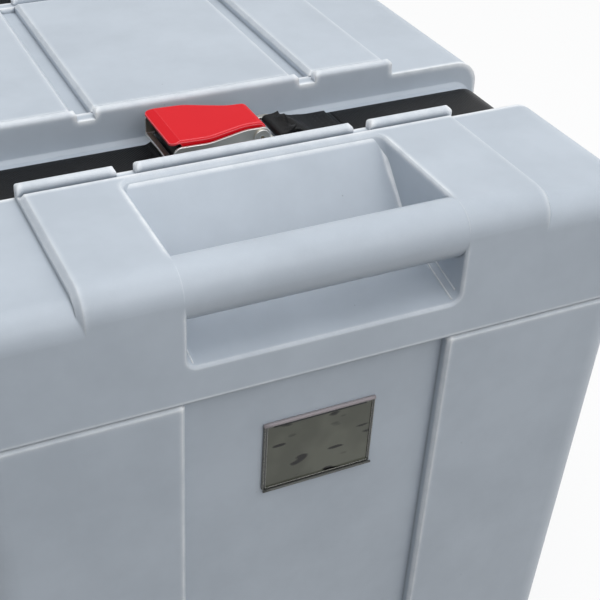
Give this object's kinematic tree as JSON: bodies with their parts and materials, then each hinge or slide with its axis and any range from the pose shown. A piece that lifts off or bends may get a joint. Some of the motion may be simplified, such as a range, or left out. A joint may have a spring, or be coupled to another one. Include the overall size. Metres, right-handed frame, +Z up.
{
  "type": "flight case",
  "caption": "Moulded plastic trunk with a lift-off lid, moulded grab handles, webbing straps with lift-lever buckles and a label holder.",
  "frame": {"origin": "centre of the footprint, on the floor under the feet", "axes": "+Z up, -Y towards the end with the label holder, +X to the right seen from that end"},
  "size_m": [0.418, 0.6, 0.4],
  "materials": {
    "polyethylene": "satin",
    "seal_rubber": "matte",
    "foam": "matte",
    "label_frame": "satin",
    "label_card": "matte",
    "label_window": "gloss",
    "webbing": "woven",
    "plated_steel": "nickel plated",
    "red_paint": "gloss"
  },
  "bodies": {
    "base": {"tub": "polyethylene", "lid_seal": "seal_rubber", "foam_base": "foam", "label_frame": "label_frame", "label_card": "label_card", "label_window": "label_window", "webbing_under_front": "webbing", "webbing_under_rear": "webbing"},
    "top": {"lid": "polyethylene", "foam_lid": "foam", "webbing_adjust_front": "webbing", "webbing_pull_front": "webbing", "buckle_frame_front": "plated_steel", "hinge_pin_front": "plated_steel", "adjuster_bar_front": "plated_steel", "webbing_adjust_rear": "webbing", "webbing_pull_rear": "webbing", "buckle_frame_rear": "plated_steel", "hinge_pin_rear": "plated_steel", "adjuster_bar_rear": "plated_steel"},
    "lever_front": {"buckle_lever_front": "red_paint"},
    "tongue_front": {"tongue_front": "plated_steel", "tongue_loop_front": "webbing"},
    "lever_rear": {"buckle_lever_rear": "red_paint"},
    "tongue_rear": {"tongue_rear": "plated_steel", "tongue_loop_rear": "webbing"}
  },
  "joints": [
    {"name": "lid_lift", "type": "slide", "parent": "base", "child": "top", "axis": [0, 0, 1], "range_m": [0, 0.12], "deforming": ["webbing_under_front", "webbing_under_rear"]},
    {"name": "lever_front_lift", "type": "hinge", "parent": "top", "child": "lever_front", "pos_m": [0.0206, -0.14025, 0.3886], "axis": [0, 1, 0], "range_deg": [0, 80], "stiffness_Nm_per_rad": 0.02, "springref_deg": -17.19},
    {"name": "tongue_front_pull", "type": "slide", "parent": "top", "child": "tongue_front", "axis": [1, 0, 0], "range_m": [0, 0.036], "deforming": ["webbing_pull_front"]},
    {"name": "lever_rear_lift", "type": "hinge", "parent": "top", "child": "lever_rear", "pos_m": [0.0206, 0.14425, 0.3886], "axis": [0, 1, 0], "range_deg": [0, 80], "stiffness_Nm_per_rad": 0.02, "springref_deg": -17.19},
    {"name": "tongue_rear_pull", "type": "slide", "parent": "top", "child": "tongue_rear", "axis": [1, 0, 0], "range_m": [0, 0.036], "deforming": ["webbing_pull_rear"]}
  ]
}
